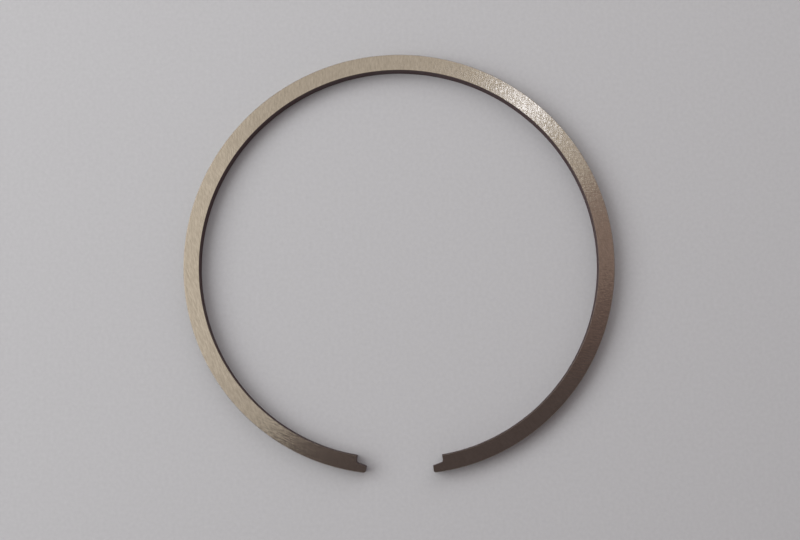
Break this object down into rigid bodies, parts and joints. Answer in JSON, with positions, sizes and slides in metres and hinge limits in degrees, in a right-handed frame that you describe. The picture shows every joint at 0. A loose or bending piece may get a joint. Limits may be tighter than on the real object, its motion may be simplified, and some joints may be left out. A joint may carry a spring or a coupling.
{
  "type": "piston ring",
  "caption": "Split piston ring of plain rectangular section, drawn free with its gap open; stepped inner notches at the tips seat it round the peg of a piston groove.",
  "frame": {"origin": "centre of the free ring's outline, on the lower side face", "axes": "+Z along the ring's axis, away from the surface it lies on; the gap faces -Y and the back of the ring +Y"},
  "size_m": [0.0594, 0.0576, 0.0025],
  "materials": {
    "ground_iron": "ground side faces, dark inner wall"
  },
  "bodies": {
    "root": {"piston_ring": "ground_iron"}
  },
  "joints": []
}
